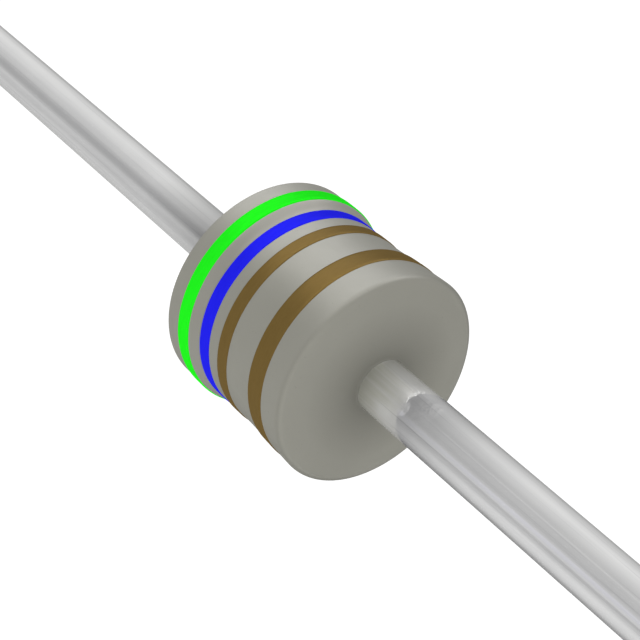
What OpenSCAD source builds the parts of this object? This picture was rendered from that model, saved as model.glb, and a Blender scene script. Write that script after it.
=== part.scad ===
// A small axial metal film resistor with a squat dog-bone coating.
// Four painted bands read green, blue, brown, brown: 560 ohm, 1 percent.
// The axis of the wires is X. The origin is the middle of the body.
// All sizes are millimetres.
// The body is built outwards from its core, as it is made: a ceramic rod, a
// trimmed film on the rod, two pressed caps, two welded wires, the coating, and
// the bands. Each layer takes its size from the layer under it.

/* [Core] */
// Diameter of the ceramic rod
rod_d = 1.46; // [1.2:0.02:2]
// Length of the ceramic rod
rod_len = 1.26; // [1.2:0.02:3.4]
// Rounding of the rod's two end edges
rod_edge = 0.03; // [0.01:0.01:0.06]

/* [Resistive film] */
// Thickness of the film, drawn far thicker than the real layer
film_t = 0.02; // [0.01:0.005:0.03]
// Width of the spiral cut that trims the film
trim_w = 0.035; // [0.02:0.005:0.05]
// Pitch of the spiral cut
trim_pitch = 0.105; // [0.08:0.005:0.2]
// Uncut film between the spiral and each cap
trim_margin = 0.05; // [0.03:0.01:0.1]

/* [End caps] */
// Wall of the drawn steel cap
cap_wall = 0.09; // [0.06:0.01:0.12]
// Length of rod that each cap covers
cap_grip = 0.38; // [0.3:0.01:0.45]
// Outer radius of the cap's drawn corner
cap_corner = 0.1; // [0.05:0.01:0.14]
// Play between cap and film, zero for the pressed joint
cap_play = 0; // [0:0.002:0.01]

/* [Wires] */
// Diameter of the tinned wire
lead_d = 0.45; // [0.35:0.01:0.6]
// Overall length from cut end to cut end, as cut from a 26 mm wide tape
span = 26; // [12:0.5:60]
// Radius of the weld fillet where the wire meets its cap
weld_r = 0.06; // [0.03:0.01:0.06]

/* [Coating] */
// Thickness of the coating over the side of the left cap, where it is thickest
coat_left = 0.097; // [0.07:0.001:0.14]
// Thickness of the coating over the side of the right cap
coat_right = 0.08; // [0.07:0.001:0.14]
// Thickness of the coating over the film, at the waist
coat_waist = 0.138; // [0.125:0.001:0.16]
// Thickness of the coating over the end of the caps
coat_end = 0.096; // [0.09:0.002:0.2]
// Distance from the middle to the foot of the left slope
left_slope_start = 0.328; // [0.26:0.002:0.4]
// Length of the left slope, from the waist up to the bulge
left_slope_run = 0.161; // [0.1:0.001:0.24]
// Distance from the middle to the foot of the long right slope
right_slope_start = 0.134; // [0.08:0.002:0.3]
// How far the end faces are domed, along the axis
dome_drop = 0.081; // [0.04:0.001:0.12]
// How far the doming reaches in from the side towards the wire
dome_reach = 0.577; // [0.2:0.001:0.65]

/* [Colour bands] */
// Thickness of the band paint
paint_t = 0.008; // [0.004:0.002:0.02]
// Width of the green band
green_w = 0.144; // [0.1:0.002:0.18]
// Distance from the left end to the middle of the green band
green_inset = 0.292; // [0.24:0.002:0.32]
// Width of the blue band
blue_w = 0.132; // [0.1:0.002:0.18]
// Distance from the left end to the middle of the blue band
blue_inset = 0.529; // [0.5:0.002:0.56]
// Width of the first brown band
brown_w = 0.13; // [0.1:0.002:0.18]
// Distance from the left end to the middle of the first brown band
brown_inset = 0.782; // [0.74:0.002:0.82]
// Width of the last brown band
last_w = 0.19; // [0.15:0.002:0.25]
// Distance from the right end to the middle of the last brown band
last_inset = 0.388; // [0.34:0.002:0.42]

/* [Hidden] */

// Smoothness of every revolved shape
$fn = 96;
// Steps along a quarter turn of an outline
quarter_steps = 10;
// Steps along the left slope, and along the dome of an end face
slope_steps = 12;
dome_steps = 16;
// Steps in one turn of the spiral cut
turn_steps = 40;
// How far a cutting shape runs past what it cuts
past = 0.1;

// The stack of radii, from the axis outwards
lead_radius = lead_d / 2;
rod_radius = rod_d / 2;
film_radius = rod_radius + film_t;
bore_radius = film_radius + cap_play;
cap_radius = bore_radius + cap_wall;
waist_radius = film_radius + coat_waist;
left_radius = cap_radius + coat_left;
right_radius = cap_radius + coat_right;

// The stations along the axis, from the middle to the right end
rod_end = rod_len / 2;
cap_mouth = rod_end - cap_grip;
cap_end = rod_end + cap_wall;
body_end = cap_end + coat_end;
side_end = body_end - dome_drop;
lead_tip = span / 2;

// The spiral cut fills the open film between the caps with whole turns
trim_room = 2 * (cap_mouth - trim_margin) - trim_w;
trim_turns = max(1, floor(trim_room / trim_pitch));
trim_start = -trim_turns * trim_pitch / 2;

// An arc of an outline. Points are [radius, place along the axis].
function arc(centre, r, from, to) = [
    for (i = [0:quarter_steps])
        let (a = from + (to - from) * i / quarter_steps)
        centre + r * [cos(a), sin(a)]
];

// The same points in reverse order on the other side of the middle
function mirrored(points) = [
    for (i = [len(points) - 1:-1:0]) [points[i][0], -points[i][1]]
];

// The domed end of the coating, a quarter ellipse from the side to the face
function dome(side_radius, grow) = [
    for (i = [0:dome_steps])
        let (a = 90 * i / dome_steps)
        [side_radius + grow - dome_reach * (1 - cos(a)), side_end + dome_drop * sin(a)]
];

// The outer outline of the right half. The dip drained towards the left, so
// this side climbs in one long straight slope from the waist to its bulge.
function right_skin(grow = 0) = concat(
    [[waist_radius + grow, right_slope_start]],
    dome(right_radius, grow),
    [[0, body_end]]
);

// The outer outline of the left half, written on the right side. Its slope is
// half a cosine wave, so it starts and ends level.
function left_skin(grow = 0) = concat(
    [for (i = [0:slope_steps])
        let (t = i / slope_steps)
        let (rise = (1 - cos(180 * t)) / 2)
        [waist_radius + (left_radius - waist_radius) * rise + grow,
            left_slope_start + left_slope_run * t]],
    dome(left_radius, grow),
    [[0, body_end]]
);

// The outline of one cap's outside, from its mouth to the wire's weld
function cap_outside() = concat(
    [[cap_radius, cap_mouth]],
    arc([cap_radius - cap_corner, cap_end - cap_corner], cap_corner, 0, 90)
);

// The outline of the weld fillet, a hollow quarter round from cap to wire
function weld_outline() =
    arc([lead_radius + weld_r, cap_end + weld_r], weld_r, 270, 180);

// All that the coating covers on the right half: film, cap, weld and wire
function core() = concat(
    [[film_radius, 0]],
    [[film_radius, cap_mouth]],
    cap_outside(),
    weld_outline(),
    [[lead_radius, body_end + past], [0, body_end + past]]
);

// Turns an outline of [radius, place] about the X axis
module turned() {
    rotate([0, 90, 0])
        rotate_extrude()
            children();
}

// The flat outline of the coated body without its core taken out
module skin_outline(grow = 0) {
    polygon(concat(mirrored(left_skin(grow)), right_skin(grow)));
}

module ceramic_rod() {
    edge = arc([rod_radius - rod_edge, rod_end - rod_edge], rod_edge, 0, 90);
    half = concat(edge, [[0, rod_end]]);
    color("white")
        turned()
            polygon(concat(mirrored(half), half));
}

// The spiral cutter, a square bar wound about the Z axis
module trim_cutter() {
    steps = trim_turns * turn_steps;
    inner = rod_radius - past;
    outer = film_radius + past;
    section = [
        [inner, -trim_w / 2], [outer, -trim_w / 2],
        [outer, trim_w / 2], [inner, trim_w / 2]
    ];
    points = [
        for (i = [0:steps])
            let (a = 360 * i / turn_steps)
            let (climb = trim_start + trim_pitch * i / turn_steps)
            for (p = section) [p[0] * cos(a), p[0] * sin(a), climb + p[1]]
    ];
    sides = [
        for (i = [0:steps - 1])
            for (k = [0:3])
                let (here = 4 * i + k)
                let (beside = 4 * i + (k + 1) % 4)
                each [[here, beside, here + 4], [beside, beside + 4, here + 4]]
    ];
    last = 4 * steps;
    ends = [[3, 2, 1, 0], [last, last + 1, last + 2, last + 3]];
    polyhedron(points, concat(sides, ends), convexity = 2 * trim_turns);
}

module resistive_film() {
    color("dimgray")
        rotate([0, 90, 0])
            difference() {
                translate([0, 0, -rod_end + rod_edge])
                    cylinder(r = film_radius, h = rod_len - 2 * rod_edge);
                translate([0, 0, -rod_end])
                    cylinder(r = rod_radius, h = rod_len);
                trim_cutter();
            }
}

// A drawn cup, pressed over the right end of the rod
module end_cap() {
    color("silver")
        turned()
            difference() {
                polygon(concat([[0, cap_mouth]], cap_outside(), [[0, cap_end]]));
                translate([0, cap_mouth - past])
                    square([bore_radius, rod_end - cap_mouth + past]);
            }
}

module end_cap_right() {
    end_cap();
}

module end_cap_left() {
    mirror([1, 0, 0])
        end_cap();
}

// A straight wire with its butt weld against the right cap
module lead() {
    color("lightgray")
        turned()
            polygon(concat(
                [[0, cap_end]],
                weld_outline(),
                [[lead_radius, lead_tip], [0, lead_tip]]
            ));
}

module lead_right() {
    lead();
}

module lead_left() {
    mirror([1, 0, 0])
        lead();
}

module coating() {
    color([0.58, 0.57, 0.53])
        turned()
            difference() {
                skin_outline();
                polygon(concat(mirrored(core()), core()));
            }
}

// A ring of paint on the coating, following its slope
module band(middle, width) {
    turned()
        intersection() {
            difference() {
                skin_outline(paint_t);
                skin_outline();
            }
            translate([lead_radius, middle - width / 2])
                square([left_radius + past, width]);
        }
}

module band_green() {
    color([0.15, 0.95, 0.18])
        band(green_inset - body_end, green_w);
}

module band_blue() {
    color([0.14, 0.14, 0.97])
        band(blue_inset - body_end, blue_w);
}

module band_brown() {
    color([0.48, 0.37, 0.21])
        band(brown_inset - body_end, brown_w);
}

module band_brown_last() {
    color([0.48, 0.37, 0.21])
        band(body_end - last_inset, last_w);
}

ceramic_rod();
resistive_film();
end_cap_left();
end_cap_right();
lead_left();
lead_right();
coating();
band_green();
band_blue();
band_brown();
band_brown_last();
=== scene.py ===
# %% [markdown]
# A small axial resistor, dressed for its portrait.
# The real part is a ceramic rod under a metal film, with two pressed caps, two
# tinned wires, a dipped lacquer coat and four printed rings of paint.
# The solids come from the frame. They have the right sizes, but flat facets and
# no finish. So this script leaves what nobody sees as it is, makes what shows
# again as fine surfaces, and adds the finishes, the studio and the camera.

import bpy
import numpy as np
from mathutils import Matrix, Vector


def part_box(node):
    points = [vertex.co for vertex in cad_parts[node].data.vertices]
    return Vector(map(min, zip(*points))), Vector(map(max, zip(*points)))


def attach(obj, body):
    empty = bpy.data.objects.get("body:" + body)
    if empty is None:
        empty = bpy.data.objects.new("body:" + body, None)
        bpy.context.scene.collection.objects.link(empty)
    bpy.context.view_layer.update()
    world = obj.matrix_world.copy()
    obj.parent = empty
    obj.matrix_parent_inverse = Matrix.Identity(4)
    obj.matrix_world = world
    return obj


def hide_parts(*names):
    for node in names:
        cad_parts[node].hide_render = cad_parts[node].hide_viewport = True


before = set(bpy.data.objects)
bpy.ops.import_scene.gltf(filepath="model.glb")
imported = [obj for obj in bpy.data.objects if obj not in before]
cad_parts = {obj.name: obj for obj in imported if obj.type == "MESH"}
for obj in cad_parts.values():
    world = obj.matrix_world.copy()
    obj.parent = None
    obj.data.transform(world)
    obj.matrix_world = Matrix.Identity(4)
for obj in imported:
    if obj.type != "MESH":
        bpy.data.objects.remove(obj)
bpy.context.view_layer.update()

MM = 0.001
print("nodes:", ", ".join(sorted(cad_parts)))

# %% [markdown]
# The sizes are read back from the solids. They could be copied out as numbers,
# but then two files would have to agree by hand. Read back, the surfaces still
# fit when a size changes in the CAD source.
# Every piece is a body of revolution about X. A point of a solid is therefore
# known by two numbers: its place along the axis, and its distance from the axis.

# %% Read the sizes of the core and the wires
def stations(node):
    """Place along X, and distance from the X axis, of each vertex of a CAD node."""
    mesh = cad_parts[node].data
    co = np.empty(3 * len(mesh.vertices))
    mesh.vertices.foreach_get("co", co)
    co = co.reshape(-1, 3)
    return co[:, 0], np.hypot(co[:, 1], co[:, 2])


NEAR = 0.002 * MM
cap_x, cap_dist = stations("end_cap_right")
wire_x, wire_dist = stations("lead_right")

film_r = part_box("resistive_film")[1].z
cap_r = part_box("end_cap_right")[1].z
cap_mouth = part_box("end_cap_right")[0].x
cap_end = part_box("end_cap_right")[1].x
cap_corner = cap_r - cap_dist[cap_x > cap_end - NEAR].max()
wire_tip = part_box("lead_right")[1].x
wire_r = wire_dist[wire_x > wire_tip - NEAR].max()
weld_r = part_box("lead_right")[1].z - wire_r
for label, value in [("film radius", film_r), ("cap radius", cap_r), ("cap mouth", cap_mouth),
                     ("cap end", cap_end), ("cap corner", cap_corner), ("wire radius", wire_r),
                     ("wire tip", wire_tip), ("weld radius", weld_r)]:
    print(f"{label}: {value / MM:.3f} mm")

# %% [markdown]
# The coating's outline is not symmetric: the left side has a short slope up to a
# high bulge, the right side a long slope up to a lower one. Where each slope
# starts and ends shows in the radii of the vertices. The vertices of the side
# are those well inside the two ends and further out than the caps.

# %% Read the coating's outline
coat_x, coat_dist = stations("coating")
body_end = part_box("coating")[1].x
on_side = (np.abs(coat_x) < 0.6 * body_end) & (coat_dist > 1.01 * cap_r)
waist_r = coat_dist[on_side].min()
at_waist = coat_x[on_side & (coat_dist < waist_r + NEAR)]
right_slope_start = at_waist.max()
left_slope_start = -at_waist.min()
left_r = coat_dist.max()
right_r = coat_dist[coat_x > 0].max()
left_slope_run = -coat_x[coat_dist > left_r - NEAR].max() - left_slope_start
side_end = coat_x[(coat_x > 0) & (coat_dist > right_r - NEAR)].max()
dome_drop = body_end - side_end
dome_reach = right_r - coat_dist[coat_x > body_end - NEAR].max()
for label, value in [("body end", body_end), ("waist radius", waist_r),
                     ("left bulge", left_r), ("right bulge", right_r),
                     ("left slope from", left_slope_start),
                     ("left slope run", left_slope_run),
                     ("right slope from", right_slope_start), ("side end", side_end),
                     ("dome drop", dome_drop), ("dome reach", dome_reach)]:
    print(f"{label}: {value / MM:.3f} mm")

# %% [markdown]
# The camera looks down on the part from the side of the last brown band.
# Its place was solved from the outlines in the photograph: the turn about Z, the
# height above the horizon, the distance, the focal length as a share of the
# picture's width, and a small shift of aim to the right and upwards.
# A Track To constraint could point it. A matrix made of its right, up and back
# axes is used instead, because it holds exactly what was solved.

# %% Place the camera
VIEW_TURN = 54.90
VIEW_HEIGHT = 37.13
VIEW_DISTANCE = 14.356 * MM
FOCAL_WIDTHS = 2.8426
AIM_RIGHT = 0.0073 * MM
AIM_UP = 0.0881 * MM
SENSOR = 36.0


def camera_axes(turn, height):
    """Right, up and back of a camera turned about Z and raised above the horizon."""
    a, e = np.radians([turn, height])
    back = np.array([np.sin(a) * np.cos(e), -np.cos(a) * np.cos(e), np.sin(e)])
    right = np.array([np.cos(a), np.sin(a), 0.0])
    return right, np.cross(back, right), back


right, up, back = camera_axes(VIEW_TURN, VIEW_HEIGHT)
eye = back * VIEW_DISTANCE + right * AIM_RIGHT + up * AIM_UP
camera_data = bpy.data.cameras.new("portrait_camera")
camera_data.sensor_width = SENSOR
camera_data.lens = FOCAL_WIDTHS * SENSOR
camera_data.clip_start = 0.5 * MM
camera_data.clip_end = 10.0
camera = bpy.data.objects.new("portrait_camera", camera_data)
camera.matrix_world = Matrix.Translation(Vector(eye)) @ Matrix(
    np.column_stack([right, up, back]).tolist()).to_4x4()
bpy.context.scene.collection.objects.link(camera)
bpy.context.scene.camera = camera
print("camera at", np.round(eye / MM, 2), "mm")

# %% [markdown]
# Each outline is a list of points: the place along the axis and the radius.
# Turning an outline about X gives a surface of two parameters, the angle and the
# distance along the outline. The Screw modifier could turn it too, but a surface
# worked out with numpy can also swell, wander and lean as it goes round.

# %% Helpers for outlines
def arc(centre, radius, start, end, steps):
    """Points on a circle: centre plus radius times (cosine, sine) of the angle."""
    t = np.radians(np.linspace(start, end, steps + 1))
    return np.column_stack([centre[0] + radius * np.cos(t), centre[1] + radius * np.sin(t)])


def line(start, end, steps):
    """Points at equal steps from start to end, both included."""
    t = np.linspace(0.0, 1.0, steps + 1)[:, None]
    return np.array(start) * (1 - t) + np.array(end) * t


def joined(*parts):
    """The parts one after the other, with a point that repeats left out."""
    points = np.concatenate(parts)
    step = np.hypot(*np.diff(points, axis=0).T)
    return points[np.concatenate([[True], step > 1e-9])]


def mirrored(points):
    """The same outline on the other side of the middle, in reverse order."""
    return points[::-1] * [-1.0, 1.0]


# %% [markdown]
# Every surface is a grid of points, with rows along the outline and columns round
# the axis, and a face in each gap of the grid. numpy works out all the points at
# once, and from_pydata puts them into a mesh.

# %% Helpers that make a mesh and turn an outline
def new_piece(name, points, faces):
    """A mesh object of that name, linked into the scene."""
    mesh = bpy.data.meshes.new(name)
    mesh.from_pydata(points.tolist(), [], faces)
    piece = bpy.data.objects.new(name, mesh)
    bpy.context.scene.collection.objects.link(piece)
    return piece


def turned(name, x, r, closed_outline):
    """Surface P(a, s) = (x, r cos a, r sin a), with x and r given on a grid of
    rows along the outline by columns round the axis. A closed outline joins its
    last row to its first. An open one ends in a pole point at each end."""
    rows, cols = r.shape
    angle = np.arange(cols) * 2 * np.pi / cols
    points = np.stack([x, r * np.cos(angle), r * np.sin(angle)], axis=-1).reshape(-1, 3)
    i = np.arange(rows if closed_outline else rows - 1)[:, None]
    j = np.arange(cols)[None, :]
    below, above = i * cols, (i + 1) % rows * cols
    beside = (j + 1) % cols
    faces = np.stack([below + j, above + j, above + beside, below + beside], axis=-1)
    faces = faces.reshape(-1, 4).tolist()
    if not closed_outline:
        ring = np.arange(cols)
        after = (ring + 1) % cols
        first, last = rows * cols, rows * cols + 1
        ends = np.array([[x[0].mean(), 0, 0], [x[-1].mean(), 0, 0]])
        points = np.concatenate([points, ends])
        top = (rows - 1) * cols
        faces += np.column_stack([ring, after, np.full(cols, first)]).tolist()
        faces += np.column_stack([top + after, top + ring, np.full(cols, last)]).tolist()
    piece = new_piece(name, points, faces)
    piece.data.polygons.foreach_set("use_smooth", np.ones(len(faces), bool))
    piece.data.update()
    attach(piece, "root")
    size = points.max(0) - points.min(0)
    print(f"{name}: {len(faces)} faces, {size[0] / MM:.3f} x {size[1] / MM:.3f} mm")
    return piece


# %% [markdown]
# The coating is dipped, so its skin is never a perfect turning. Surface tension
# leaves slow swells a few thousandths of a millimetre high. They bend the soft
# reflections a little, which is what tells lacquer from moulded plastic.
# A Displace modifier could do this. A short sum of waves is used because it is
# smooth, and because the bands can then follow the very same waves.

# %% The coating's skin as a function
def swell(x, angle):
    """Height of the lacquer's slow swells: a sum of four waves round and along."""
    along = x / body_end
    waves = [(2, 1.3, 0.4, 0.0011), (3, -2.1, 1.7, 0.0008),
             (5, 3.4, 2.9, 0.0005), (1, 4.6, 5.1, 0.0006)]
    height = sum(a * np.sin(k * angle + m * along + p) for k, m, p, a in waves)
    return height * MM


def soft_ramp(d, width):
    """Nought, then d, with a quadratic bend from -width to +width between them."""
    bend = (d + width) ** 2 / (4 * width)
    return np.where(d > width, d, np.where(d < -width, 0.0, bend))


FOOT_EASE = 0.09 * MM
BULGE_EASE = 0.05 * MM
LIP = 0.014 * MM


def left_climb(x):
    """Radius of the left half's side at a distance from the middle: the waist,
    then half a cosine wave up to the bulge."""
    t = np.clip((x - left_slope_start) / left_slope_run, 0, 1)
    return waist_r + (left_r - waist_r) * (1 - np.cos(np.pi * t)) / 2


def right_climb(x):
    """Radius of the right half's side: the waist, then a straight slope. Both
    its ends are eased, as lacquer has no creases."""
    slope = (right_r - waist_r) / (side_end - right_slope_start)
    foot = soft_ramp(x - right_slope_start, FOOT_EASE)
    return waist_r + slope * (foot - soft_ramp(x - side_end, BULGE_EASE))


def skin_half(climb):
    """Outer outline of one half. The side follows climb(x). The dome is a
    quarter ellipse: x = side end + drop sin a, r = climb(x) - reach (1 - cos a).
    The face ends in a tiny lip that wets the wire."""
    side = np.linspace(0, side_end, 65)
    a = np.radians(np.linspace(0, 90, 61))
    dome_x = side_end + dome_drop * np.sin(a)
    dome_r = climb(dome_x) - dome_reach * (1 - np.cos(a))
    return joined(
        np.column_stack([side, climb(side)]),
        np.column_stack([dome_x, dome_r]),
        line((body_end, dome_r[-1]), (body_end, wire_r + LIP), 8),
        [[body_end + 0.12 * LIP, wire_r + 0.55 * LIP]],
        [[body_end + 0.45 * LIP, wire_r + 0.2 * LIP]],
        [[body_end + 0.9 * LIP, wire_r]],
    )


skin = joined(mirrored(skin_half(left_climb)), skin_half(right_climb))
outer_rows = len(skin)
side_rows = skin[np.abs(skin[:, 0]) <= side_end + NEAR]


def skin_radius(x, angle):
    """Radius of the coating's side at a place along the axis, swells included."""
    return np.interp(x, side_rows[:, 0], side_rows[:, 1]) + swell(x, angle)


print("outline of the skin:", outer_rows, "points")

# %% [markdown]
# Under the skin the lacquer fills round the film, the caps and the welds. The
# coating is made as one closed shell with that hollow in it, as it would be if
# the core could be drawn out. Its outline is the skin one way and the core back.
# The skin alone would look the same, but it would not be a whole piece when the
# part is opened up.

# %% Make the coating
ROUND = 256


def core_half():
    """What the coating covers on the right half: film, cap, weld and wire."""
    corner_centre = (cap_end - cap_corner, cap_r - cap_corner)
    return joined(
        line((0, film_r), (cap_mouth, film_r), 2),
        [[cap_mouth, cap_r]],
        arc(corner_centre, cap_corner, 90, 0, 6),
        arc((cap_end + weld_r, wire_r + weld_r), weld_r, 180, 270, 6),
    )


core = joined(mirrored(core_half()), core_half())
shell = np.concatenate([skin, core[::-1]])
grid_x = np.repeat(shell[:, :1], ROUND, axis=1)
grid_r = np.repeat(shell[:, 1:], ROUND, axis=1)
round_angle = np.arange(ROUND) * 2 * np.pi / ROUND
side_share = np.clip((shell[:, 1] - wire_r) / (waist_r - wire_r), 0, 1)
side_share[outer_rows:] = 0
grid_r = grid_r + swell(grid_x, round_angle) * side_share[:, None]
coating = turned("coating_skin", grid_x, grid_r, closed_outline=True)
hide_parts("coating")

# %% [markdown]
# Wet lacquer draws thin over a rim and leaves no crease. The rounding is too
# small to change the outline, so the shape stays as it is and only the normals
# turn: over a short way past each rim they swing smoothly from side to face.
# A Bevel modifier would need more faces and would draw the outline in.

# %% Ease the rims
RIM_EASE = 0.08 * MM


def ease_rims(mesh, outline, cols):
    """Custom normals N = (1 - w) N side + w N face, with w = t^2 (3 - 2t), and t
    the distance past the rim as a share of the ease. Other rows keep their own."""
    own = np.empty(3 * len(mesh.vertices))
    mesh.vertex_normals.foreach_get("vector", own)
    own = own.reshape(-1, cols, 3)
    along = np.concatenate([[0], np.cumsum(np.hypot(*np.diff(outline, axis=0).T))])
    for sign in (1, -1):
        rim = np.argmin(np.abs(outline[:, 0] - sign * side_end))
        t = (along - along[rim]) * sign / RIM_EASE
        rows = np.flatnonzero((t >= 0) & (t <= 1))
        face = rows[np.argmax(t[rows])]
        w = (t[rows] ** 2 * (3 - 2 * t[rows]))[:, None, None]
        eased = (1 - w) * own[rim] + w * own[face]
        own[rows] = eased / np.linalg.norm(eased, axis=-1, keepdims=True)
        print(f"rim at x {sign * side_end / MM:.3f} mm: {len(rows)} rows eased")
    mesh.normals_split_custom_set_from_vertices(own.reshape(-1, 3).tolist())


ease_rims(coating.data, skin, ROUND)

# %% [markdown]
# Each band is a ring of enamel, rolled on by a wheel while the body spins.
# It stands a little under a hundredth of a millimetre proud, its edges are
# rounded by surface tension, and they wander because the wheel presses unevenly.
# The last ring also leans, by a fiftieth of a millimetre, as it does in the
# photograph: its wheel stood a touch askew.
# A colour mask on the coating would be quicker, but flat and with one gloss for
# all. As meshes the rings catch the light at their edges.

# %% Make the four bands
paint_node_x = {node: (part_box(node)[0].x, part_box(node)[1].x) for node in
                ["band_green", "band_blue", "band_brown", "band_brown_last"]}
paint_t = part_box("band_brown")[1].z - waist_r
print(f"paint: {paint_t / MM:.4f} mm thick")


def wander(angle, seed):
    """How far a band's edge strays: three slow waves round the body."""
    phase = np.array([0.7, 2.3, 4.1]) * seed
    waves = np.array([3, 7, 13])[:, None] * angle + phase[:, None]
    return (np.array([0.0011, 0.0007, 0.0004])[:, None] * np.sin(waves)).sum(0) * MM


def band(node, seed, lean=0.0):
    """Ring whose section runs from edge to edge on the skin (s from -1 to 1),
    raised by the paint's thickness times a flat-topped hump (1 - s^10), and back
    along just under the skin. A lean moves it by lean times sin (angle - 135)."""
    low, high = paint_node_x[node]
    top = -np.cos(np.linspace(0, np.pi, 33))
    hump = np.clip(1 - top ** 10, 0, 1)
    hump[0] = hump[-1] = 0.0
    s = np.concatenate([top, [0.6, 0.0, -0.6]])
    depth = np.concatenate([hump, np.full(3, -0.3)])
    middle, half = (low + high) / 2, (high - low) / 2
    left_edge = wander(round_angle, seed)
    right_edge = wander(round_angle, seed + 5)
    drift = (left_edge * (1 - s[:, None]) + right_edge * (1 + s[:, None])) / 2
    x = middle + half * s[:, None] + drift + lean * np.sin(round_angle - 0.75 * np.pi)
    r = skin_radius(x, round_angle) + depth[:, None] * paint_t
    ring = turned(node + "_paint", x, r, closed_outline=True)
    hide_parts(node)
    return ring


band_green = band("band_green", 1)
band_blue = band("band_blue", 2)
band_brown = band("band_brown", 3)
band_brown_last = band("band_brown_last", 4, lean=0.020 * MM)

# %% [markdown]
# The wires are drawn through a die, which leaves faint lines all along them, and
# are then tinned. The lines could be a bump in the material. They are real ridges
# here, about a thousandth of a millimetre high, because they are what draws the
# reflections out into streaks.
# A cutter sheared the far ends: the edge on one side is rolled over a little.

# %% Make the two wires
DIE_FADE = 0.02 * MM
TIP_ROOM = 0.03 * MM
TIP_ROLL = 0.016 * MM
TIP_ROLL_CHANGE = 0.012 * MM


def die_lines(angle, seed):
    """Height of the ridges that the die left, a sum of waves round the wire."""
    counts = np.array([5, 9, 14, 23, 31])
    heights = np.array([0.00050, 0.00035, 0.00022, 0.00010, 0.00006])
    phase = seed * np.array([1.1, 2.7, 0.4, 3.9, 5.3])
    waves = counts[:, None] * angle + phase[:, None]
    return (heights[:, None] * np.sin(waves)).sum(0) * MM


def wire(name, node, side, seed):
    """Outline from the weld's foot to the cut end, turned about X. The tip's
    edge is rounded by a radius that changes round the wire, as a shear leaves."""
    weld = arc((cap_end + weld_r, wire_r + weld_r), weld_r, 180, 270, 8)
    shank = line((cap_end + weld_r, wire_r), (wire_tip - TIP_ROOM, wire_r), 60)
    outline = joined([[cap_end, wire_r * 0.5]], weld, shank)
    x = np.repeat(outline[:, :1], ROUND, axis=1)
    r = np.repeat(outline[:, 1:], ROUND, axis=1)
    shank_share = np.clip((outline[:, 0] - cap_end - weld_r) / DIE_FADE, 0, 1)
    r = r + die_lines(round_angle, seed) * shank_share[:, None]
    roll = TIP_ROLL + TIP_ROLL_CHANGE * np.cos(round_angle - 1.1)
    t = np.radians(np.linspace(0, 90, 9))[1:, None]
    tip_x = wire_tip - roll * (1 - np.sin(t))
    tip_r = r[-1] - roll * (1 - np.cos(t))
    face_share = np.linspace(0.85, 0.1, 5)[:, None]
    x = np.concatenate([x, tip_x, np.full((5, ROUND), wire_tip)])
    r = np.concatenate([r, tip_r, tip_r[-1] * face_share])
    if side < 0:
        x, r = -x[::-1], r[::-1]
    piece = turned(name, x, r, closed_outline=False)
    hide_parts(node)
    return piece


wire_right = wire("wire_right", "lead_right", 1, 1.0)
wire_left = wire("wire_left", "lead_left", -1, 2.0)

# %% [markdown]
# Materials are written as sums. A Value wraps one output socket, and the usual
# signs on it add Math nodes, so a mask reads as it would on paper. The nodes
# could be made and linked one by one, but that takes a page for a short sum.

# %% Values that vary over a surface
class Value:
    """A number that varies over a surface. Arithmetic on it adds Math nodes."""

    def __init__(self, owner, socket):
        self.owner = owner
        self.socket = socket

    def math(self, operation, *terms):
        return self.owner.node("ShaderNodeMath", {"operation": operation},
                               dict(enumerate(terms)))

    def __add__(self, other):
        return self.math("ADD", self, other)

    def __radd__(self, other):
        return self.math("ADD", other, self)

    def __sub__(self, other):
        return self.math("SUBTRACT", self, other)

    def __rsub__(self, other):
        return self.math("SUBTRACT", other, self)

    def __mul__(self, other):
        return self.math("MULTIPLY", self, other)

    def __rmul__(self, other):
        return self.math("MULTIPLY", other, self)

    def clipped(self):
        return self.math("MINIMUM", self.math("MAXIMUM", self, 0.0), 1.0)

    def rise(self, start, rate):
        """Nought up to start, then up at that rate to one. A rate below nought
        runs the other way: one, then down to nought at start."""
        return ((self - start) * rate).clipped()

    def size(self):
        return self.math("ABSOLUTE", self)

    def root(self):
        return self.math("SQRT", self)


# %% [markdown]
# Nodes is a node tree to write in, the world's or a material's. Finish is one
# material: on top of that it has the coordinates, the noise, the colour blends
# and the bump that every material here is mixed from.

# %% The classes that write node trees
class Nodes:
    """A node tree. What its node method returns is a Value."""

    def __init__(self, tree):
        self.tree = tree

    def node(self, kind, settings=None, sockets=None, out=0):
        """A new node of that kind. Sockets are named or numbered, and each takes
        a number, a colour or a Value. What comes back is the output out, or a
        list of Values where out names several."""
        made = self.tree.nodes.new(kind)
        for key, setting in (settings or {}).items():
            setattr(made, key, setting)
        for key, value in (sockets or {}).items():
            self.feed(made.inputs[key], value)
        if isinstance(out, tuple):
            return [Value(self, made.outputs[name]) for name in out]
        return Value(self, made.outputs[out])

    def feed(self, socket, value):
        if isinstance(value, Value):
            self.tree.links.new(value.socket, socket)
        else:
            socket.default_value = value

    def shown(self):
        """One for the rays that show a thing: to the camera, in a reflection or
        through glass. Nought for the rays that only carry its light."""
        seen, reflected, through = self.node(
            "ShaderNodeLightPath",
            out=("Is Camera Ray", "Is Glossy Ray", "Is Transmission Ray"))
        return seen.math("MAXIMUM", seen.math("MAXIMUM", seen, reflected), through)


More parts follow.
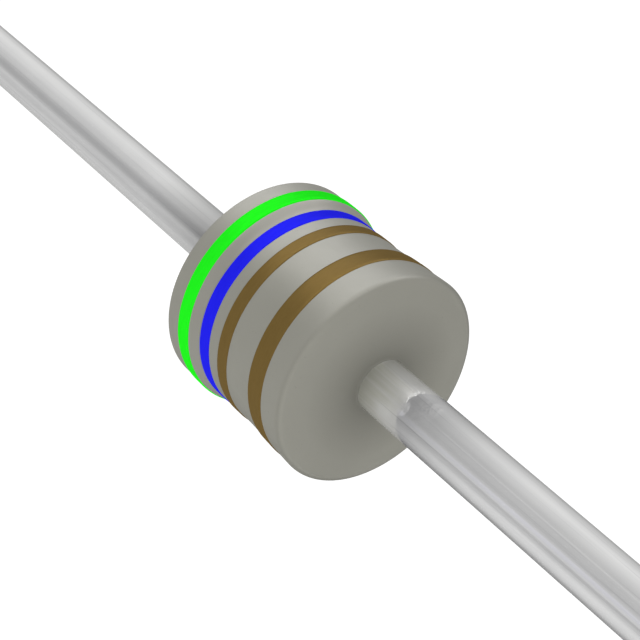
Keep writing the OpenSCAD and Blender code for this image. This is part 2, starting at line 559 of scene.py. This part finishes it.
class Finish(Nodes):
    """One material, with its surface shader kept at hand."""

    def __init__(self, name):
        self.material = bpy.data.materials.new(name)
        self.material.use_nodes = True
        super().__init__(self.material.node_tree)
        self.surface = self.tree.nodes["Principled BSDF"]

    def set(self, **values):
        """Sets sockets of the surface shader, such as base_color or roughness."""
        for key, value in values.items():
            title = key.replace("_", " ").title().replace("Ior", "IOR")
            self.feed(self.surface.inputs[title], value)

    def place(self, stretch=(1.0, 1.0, 1.0)):
        """Object coordinates, stretched by a factor on each axis."""
        where = self.node("ShaderNodeTexCoord", out="Object")
        return self.node("ShaderNodeMapping", None, {"Vector": where, "Scale": stretch})

    def parts(self):
        """The three object coordinates by themselves, in millimetres."""
        where = self.node("ShaderNodeTexCoord", out="Object")
        split = self.node("ShaderNodeSeparateXYZ", None, {0: where}, out=("X", "Y", "Z"))
        return [part * (1 / MM) for part in split]

    def noise(self, size, where, detail=2.0, roughness=0.5):
        """Noise whose blobs are about size millimetres across, from 0 to 1."""
        return self.node("ShaderNodeTexNoise", None,
                         {"Vector": where, "Scale": 1.0 / (size * MM),
                          "Detail": detail, "Roughness": roughness})

    def blend(self, share, one, other):
        """Colour one where share is 0, other where it is 1."""
        return self.node("ShaderNodeMix", {"data_type": "RGBA"},
                         {0: share, 6: one, 7: other}, out=2)

    def bump(self, height, distance, strength=1.0):
        """Normal bent by a height from 0 to 1, of that many millimetres."""
        return self.node("ShaderNodeBump", None,
                         {"Height": height, "Distance": distance * MM,
                          "Strength": strength})

    def on(self, *pieces):
        for piece in pieces:
            piece.data.materials.clear()
            piece.data.materials.append(self.material)
        print(self.material.name, "on", ", ".join(p.name for p in pieces))


def rgb(red, green, blue):
    return (red, green, blue, 1.0)


# %% [markdown]
# The lacquer is a grey beige epoxy, thick with pigment and baked to a satin
# gloss. Close up it has an orange peel texture, a slow cloudiness where it ran
# thicker, and a few darker specks of pigment. On the two end faces the colour
# is darkened towards the wire: painted shade, where the wire shades the face.
# An image could be wrapped round the body. Noise on Object coordinates is used
# instead: it has no seam, and it stays sharp however near the camera comes.

# %% Lacquer
def lacquer():
    f = Finish("satin_lacquer")
    at = f.place()
    cloud = f.noise(0.45, at, detail=3)
    speck = f.noise(0.022, at, detail=2, roughness=0.6)
    peel = f.noise(0.07, at, detail=2)
    grain = f.noise(0.012, at, detail=1)
    base = f.blend(cloud, rgb(0.258, 0.254, 0.221), rgb(0.281, 0.277, 0.242))
    dark_speck = speck.rise(0.66, 9.0)
    x, y, z = f.parts()
    from_axis = (y * y + z * z).root()
    on_face = x.size().rise(0.73, 12.0)
    # Painted shade: each end face is darker towards the wire, where the wire shades it.
    painted_shade_by_wire = from_axis.rise(0.70, -2.0) * on_face
    base = f.blend(painted_shade_by_wire * 0.9, base, rgb(0.192, 0.189, 0.165))
    f.set(base_color=f.blend(dark_speck * 0.22, base, rgb(0.155, 0.147, 0.124)),
          roughness=0.45 + (peel - 0.5) * 0.12,
          specular_ior_level=0.25, specular_tint=rgb(1.0, 0.98, 0.88),
          normal=f.bump(peel * 0.8 + grain * 0.2, 0.0012, 0.6))
    return f


lacquer().on(coating)

# %% [markdown]
# The paint is flatter than the lacquer: opaque enamel with a fine drag round the
# body where the wheel rolled. Each colour could be a material of its own making,
# but one function makes them all, so that they differ only in pigment and gloss.

# %% Band paint
def enamel(name, deep, bright, gloss):
    """Enamel between a deep and a bright tone, streaked round the X axis. The
    pigment reaches the surface, so the gloss is written as a small metallic
    share: that is the gloss which takes the colour of the paint."""
    f = Finish(name)
    drag = f.noise(0.09, f.place((6.0, 1.0, 1.0)), detail=3)
    grain = f.noise(0.02, f.place(), detail=2)
    share = (drag * 0.7 + grain * 0.3 - 0.3) * 2.2
    f.set(base_color=f.blend(share.clipped(), deep, bright),
          roughness=0.40 + (grain - 0.5) * 0.2,
          metallic=gloss, specular_ior_level=0.0,
          normal=f.bump(drag * 0.6 + grain * 0.4, 0.0009, 0.6))
    return f


enamel("enamel_green", rgb(0.014, 0.86, 0.013), rgb(0.017, 0.93, 0.015),
       0.034).on(band_green)
enamel("enamel_blue", rgb(0.015, 0.015, 0.79), rgb(0.018, 0.018, 0.86),
       0.042).on(band_blue)
enamel("enamel_brown", rgb(0.151, 0.098, 0.030), rgb(0.170, 0.111, 0.035),
       0.090).on(band_brown, band_brown_last)

# %% [markdown]
# The wires carry marks. Near the body their colour is darkened as painted shade,
# where the body shades them: darkest at the foot, and streaked along the drawn
# lines. Along two strips, on the top and on the side facing the left lamp, less
# of it is laid: painted light from above and from that lamp. Just past that shade
# the tin is at its brightest. Near the body the left wire is also darkened by
# painted shade, strongest on its top, which thins out further along.
# They could be painted on an image. Here each is a mask worked out from the place
# along the wire and round it, so that one number moves it.

# %% Where the marks lie on the wires
# Millimetres from the middle of the body, and radians up from the +Y side
# Where the painted shade near the body and its foot end, and where the strips of painted light
# lie
FOOT_END = 1.08
PAINTED_SHADE_END = 1.28
BRIGHT_START = 1.18
BRIGHT_END = 1.75
LEFT_SHADE_END = 2.35
TOP_STRIP = 1.26
SIDE_STRIP = 2.93
RIPPLE_AT = Vector((1.275, -0.150, 0.165)) * MM


def strip(y, z, angle, low, rate):
    """A strip along the wire about the line at that angle: y cos a + z sin a, in
    wire radii, is one on the line, and the strip fades out where it is low."""
    return (y * np.cos(angle) + z * np.sin(angle)).rise(low, rate)


print(f"stain: foot to {FOOT_END} mm, end at {PAINTED_SHADE_END} mm")

# %% [markdown]
# The marks are laid over the metal's colour one by one: the painted shade on the
# left wire, then the painted shade near the body, then its darker foot. That shade
# is streaked along the drawn lines. Along the two strips less of it is laid, as
# painted light.

# %% Painted shade and marks on the wires
def painted_wire_shade(f, metal, stripes):
    """The metal's colour under painted shade near the body, with two lighter strips
    of painted light. Also returns the share of bright tin just past the shade, and
    the strip along the top."""
    x, y, z = f.parts()
    y, z = y * (MM / wire_r), z * (MM / wire_r)
    along = x.size()
    # Painted shade on the left wire near the body, strongest on its top.
    left_wire_shade = x.rise(-LEFT_SHADE_END, 0.9) * x.rise(0.0, -5.0) * (0.35 + z * 0.65).clipped()
    metal = f.blend(left_wire_shade, metal, rgb(0.46, 0.46, 0.46))
    # The top and side strips take less of the shade below: painted light from above and from
    # the left lamp.
    top = strip(y, z, TOP_STRIP, 0.90, 10.0)
    side = strip(y, z, SIDE_STRIP, 0.92, 12.0) * along.rise(0.98, 8.0)
    streak = ((stripes - 0.5) * 3.0 + 0.5).clipped()
    # Painted shade near the body, streaked along the drawn lines.
    shade_near_body = along.rise(PAINTED_SHADE_END, -5.0) * (0.20 + streak * 0.75)
    shade_near_body = shade_near_body * (1.0 - (top + side) * 0.8)
    metal = f.blend(shade_near_body, metal, rgb(0.62, 0.62, 0.565))
    # Its darker foot, where the wire meets the body, is painted shade too.
    foot = along.rise(FOOT_END, -4.5) * (0.70 + streak * 0.25)
    foot = foot * (1.0 - top * 0.35)
    metal = f.blend(foot, metal, rgb(0.49, 0.49, 0.435))
    bright = along.rise(BRIGHT_END, -2.5) * along.rise(BRIGHT_START, 8.0)
    return metal, bright, top


# %% [markdown]
# Tin plate over drawn copper. Dull tin lies between brighter drawn lines, so the
# metal is half soft and half mirror. Its gloss changes in long stripes, and a few
# fine darker lines run along it where the die dragged. The tin has also set
# unevenly in small scattered patches, and one of them breaks the line where the
# wire stops mirroring the body's end.
# Two shaders could be mixed, a soft one and a mirror. One shader with a Metallic
# of about a half gives both, and it is simpler to bake.

# %% Tinned wire
def patches(f, at):
    """Height of the uneven tin: fine noise in one main patch, and faintly in
    patches scattered by slow noise."""
    away = f.node("ShaderNodeVectorMath", {"operation": "DISTANCE"},
                  {0: at, 1: tuple(RIPPLE_AT)}, out="Value")
    main_patch = (1.5 - away * (22.0 / MM)).clipped()
    scattered = f.noise(0.45, at, detail=1).rise(0.66, 9.0)
    return f.noise(0.026, at, detail=2) * (main_patch + scattered * 0.2)


def tinned():
    f = Finish("tinned_wire")
    stripes = f.noise(0.035, f.place((0.012, 1.0, 1.0)), detail=3)
    fine = f.noise(0.011, f.place((0.005, 1.0, 1.0)), detail=2)
    mottle = f.noise(0.16, f.place((0.4, 1.0, 1.0)), detail=3)
    tone = (stripes * 0.6 + mottle * 0.4 - 0.3) * 2.0
    metal = f.blend(tone.clipped(), rgb(0.75, 0.75, 0.76), rgb(0.85, 0.85, 0.85))
    scratch = fine.rise(0.60, 7.0)
    metal = f.blend(scratch * 0.55, metal, rgb(0.50, 0.50, 0.52))
    metal, bright, top = painted_wire_shade(f, metal, stripes)
    height = stripes * 0.25 + fine * 0.2 + patches(f, f.place()) * 8.0
    f.set(base_color=metal,
          metallic=0.55 + bright * (0.09 - top * 0.27),
          roughness=0.04 + (stripes - 0.5) * 0.03 + (mottle - 0.5) * 0.02,
          normal=f.bump(height, 0.0012, 0.4))
    return f


tinned().on(wire_right, wire_left)

# %% [markdown]
# The inner pieces stay as the solids made them, and are hidden by the coating.
# Each still gets the finish of the real one, for when the part is opened up.

# %% Ceramic, film and caps
def ceramic():
    f = Finish("fired_ceramic")
    grain = f.noise(0.03, f.place(), detail=3)
    f.set(base_color=f.blend(grain, rgb(0.80, 0.78, 0.72), rgb(0.88, 0.86, 0.81)),
          roughness=0.62 + (grain - 0.5) * 0.2,
          normal=f.bump(grain, 0.001))
    return f


def film():
    f = Finish("nickel_chromium_film")
    grain = f.noise(0.015, f.place(), detail=3)
    f.set(base_color=f.blend(grain, rgb(0.13, 0.12, 0.12), rgb(0.20, 0.19, 0.185)),
          metallic=0.9, roughness=0.34 + (grain - 0.5) * 0.2,
          normal=f.bump(grain, 0.0006))
    return f


def plated_cap():
    f = Finish("plated_cap")
    draw = f.noise(0.03, f.place((0.1, 1.0, 1.0)), detail=3)
    f.set(base_color=f.blend(draw, rgb(0.50, 0.50, 0.49), rgb(0.66, 0.66, 0.65)),
          metallic=1.0, roughness=0.28 + (draw - 0.5) * 0.2,
          normal=f.bump(draw, 0.0008))
    return f


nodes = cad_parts
ceramic().on(nodes["ceramic_rod"])
film().on(nodes["resistive_film"])
plated_cap().on(nodes["end_cap_left"], nodes["end_cap_right"])

# %% [markdown]
# The part hangs by its wires over a white floor, well clear of it, so that its
# shadow is only a breath. To light that bounces, the floor is plain white paper.
# A floor lit only by the lamps would come out grey in the picture. So to the
# camera and in reflections part of its white is a glow of its own, and the rest
# still takes the shadow.

# %% Floor
FLOOR_DROP = 22 * MM
FLOOR_HALF = 1500 * MM
BOUNCE = 0.95


def flat(name, half, height):
    """A level square with that half width at that height, facing up."""
    corners = np.array([[-1, -1], [1, -1], [1, 1], [-1, 1]]) * half
    points = np.column_stack([corners, np.full(4, height)])
    piece = new_piece(name, points, [[0, 1, 2, 3]])
    return piece


floor = flat("floor", FLOOR_HALF, -FLOOR_DROP)
paper = Finish("white_floor")
shown = paper.shown()
paper.set(base_color=paper.blend(shown, rgb(BOUNCE, BOUNCE, BOUNCE), rgb(0.80, 0.80, 0.80)),
          roughness=0.9, specular_ior_level=0.0,
          emission_color=paper.blend(shown, rgb(0, 0, 0), rgb(0.45, 0.45, 0.45)),
          emission_strength=1.0)
paper.on(floor)

# %% [markdown]
# The world is a plain white room. To the camera and in reflections it is white;
# the light that it gives to the part is turned down to a plain level. One
# strength for both would leave a grey background or a part that is too bright.

# %% World
AMBIENT = 0.75
world = bpy.data.worlds.new("white_room")
bpy.context.scene.world = world
world.use_nodes = True
room = Nodes(world.node_tree)
background = world.node_tree.nodes["Background"]
room.feed(background.inputs["Color"], rgb(1.0, 1.0, 1.0))
room.feed(background.inputs["Strength"], AMBIENT + room.shown() * (1.0 - AMBIENT))
print("world: ambient", AMBIENT)

# %% [markdown]
# The room alone would light all sides alike, and the part would look flat. So
# there are three soft lamps, each given as a share of the light of an all white
# room. One faces the near end and one stands on the left. The third is a broad
# softbox high behind the part, and only the satin surfaces take it, and only as
# gloss: it draws the wide highlight along the top of the lacquer and the paint.

# %% Lamps
FRONT = 0.28
LEFT = 0.31
HIGHLIGHT = 7.8


def softbox(name, direction, distance, width, share):
    """A square area lamp, aimed at the body. A lamp of P watts at distance d
    gives the share P / (pi d)^2 of what an all white room would give. Its light
    is only sampled towards the lamp: the lamps that differ in what they light
    would otherwise be counted twice by rays that meet them by chance."""
    data = bpy.data.lights.new(name, "AREA")
    data.shape = "SQUARE"
    data.size = width * MM
    data.energy = share * (np.pi * distance * MM) ** 2
    data.cycles.use_multiple_importance_sampling = False
    lamp = bpy.data.objects.new(name, data)
    where = Vector(direction).normalized() * distance * MM
    aim = where.to_track_quat("Z", "Y").to_matrix().to_4x4()
    lamp.matrix_world = Matrix.Translation(where) @ aim
    bpy.context.scene.collection.objects.link(lamp)
    print(f"{name}: share {share}, {distance} mm away, {width} mm wide")
    return lamp


for lamp in [softbox("front_softbox", (1, 0, 0.05), 120, 70, FRONT),
             softbox("left_softbox", (0, -1, 0), 120, 70, LEFT)]:
    lamp.visible_glossy = False
highlight = softbox("highlight_softbox", (-0.30, 0.31, 0.90), 80, 130, HIGHLIGHT)
highlight.visible_diffuse = False
satin_pieces = bpy.data.collections.new("satin_pieces")
for piece in (coating, band_green, band_blue, band_brown, band_brown_last):
    satin_pieces.objects.link(piece)
highlight.light_linking.receiver_collection = satin_pieces

# %% [markdown]
# Shiny wire shows whatever stands round it. In the photograph it shows soft
# panels of slightly different white, drawn out into streaks along the wire. A
# light tent does the same in a studio: a tube of cloth panels about the part.
# Only reflections see it, so it neither hides the part nor lights it. A picture
# of a studio on the world could be mirrored too, but a panel can be set by hand.
# How bright each panel is was listed one by one, following the brightness that
# was measured across the two wires in the photograph.

# %% Panels of the tent
TENT_RADIUS = 18 * MM
TENT_HALF = 70 * MM
# Degrees up from the +Y side, towards overhead, and a brightness
NEAR_PANELS = [(-60, 0.40), (-25, 0.34), (-9, 0.50), (15, 0.72), (40, 0.97), (50, 0.99),
               (71, 0.73), (103, 0.43), (108, 0.43), (111, 0.60), (114, 0.45), (143, 0.27),
               (153, 0.40), (157, 0.60), (175, 0.52), (180, 0.26), (186, 0.24), (215, 0.70),
               (239, 0.55), (265, 0.12), (290, 0.10)]
FAR_PANELS = [(-60, 0.45), (-17, 0.38), (-9, 0.42), (23, 0.80), (47, 0.93), (79, 0.78),
              (103, 0.58), (135, 0.18), (151, 0.11), (163, 0.17), (178, 0.46), (203, 0.35),
              (223, 0.48), (271, 0.42), (290, 0.45)]
LAST_PANEL = 290
# Between these two places along X the far panels pass into the near ones
FAR_END, NEAR_START = -16 * MM, -12 * MM
SEAM_AT, SEAM_WIDTH = -12.8 * MM, 2.2 * MM
# The near panel this many degrees round is a cooler white than the rest
COOL_PANEL = 162
print("panels:", len(NEAR_PANELS), "near,", len(FAR_PANELS), "far")

# %% [markdown]
# The tube is one mesh. Each of its points carries how bright the cloth is there
# and how cool its white is, and one material reads both.

# %% Light tent
def tent():
    """A tube about the X axis. Its points carry the brightness of the panels: the
    near ones towards +X, the far ones towards -X, and a dark seam between. They
    also carry how cool the white is."""
    cols, rows = 720, 141
    degrees = np.arange(cols) * 360 / cols
    folded = np.where(degrees > LAST_PANEL, degrees - 360, degrees)
    x = np.linspace(-1, 1, rows)[:, None] * TENT_HALF
    near = np.interp(folded, *np.array(NEAR_PANELS).T)[None, :]
    far = np.interp(folded, *np.array(FAR_PANELS).T)[None, :]
    near_share = np.interp(x, [FAR_END, NEAR_START], [0, 1])
    seam = 1 - 0.9 * np.exp(-((x - SEAM_AT) / SEAM_WIDTH) ** 2)
    glow = (near * near_share + far * (1 - near_share)) * seam
    angle = np.radians(degrees)[None, :]
    points = np.stack([np.repeat(x, cols, axis=1),
                       np.repeat(TENT_RADIUS * np.cos(angle), rows, axis=0),
                       np.repeat(TENT_RADIUS * np.sin(angle), rows, axis=0)], axis=-1)
    i = np.arange(rows - 1)[:, None] * cols
    j = np.arange(cols)[None, :]
    after = (j + 1) % cols
    faces = np.stack([i + j, i + after, i + cols + after, i + cols + j], axis=-1)
    cool = np.interp(np.abs(folded - COOL_PANEL), [3.6, 9.6], [1, 0])[None, :] * near_share
    piece = new_piece("light_tent", points.reshape(-1, 3), faces.reshape(-1, 4).tolist())
    for name, values in (("glow", glow), ("cool", cool)):
        shade = piece.data.attributes.new(name, "FLOAT", "POINT")
        shade.data.foreach_set("value", values.ravel().astype(np.float32))
    return piece


light_tent = tent()
light_tent.visible_camera = False
light_tent.visible_diffuse = False
light_tent.visible_transmission = False
light_tent.visible_shadow = False
cloth = Finish("tent_cloth")
glow = cloth.node("ShaderNodeAttribute", {"attribute_name": "glow"}, out="Fac")
cool = cloth.node("ShaderNodeAttribute", {"attribute_name": "cool"}, out="Fac")
white = cloth.blend(cool, rgb(1.0, 1.0, 0.98), rgb(0.96, 0.96, 1.06))
cloth.set(base_color=rgb(0, 0, 0), specular_ior_level=0.0,
          emission_color=cloth.blend(glow, rgb(0, 0, 0), white), emission_strength=1.0)
cloth.material.cycles.emission_sampling = "NONE"
cloth.on(light_tent)

# %% [markdown]
# Last comes the view setting. The dressed part may differ from the solids' box
# by a few thousandths of a millimetre. Standard shows a colour as it is written,
# where a filmic view would grey the white paper.

# %% Finish
bpy.context.scene.view_settings.view_transform = "Standard"
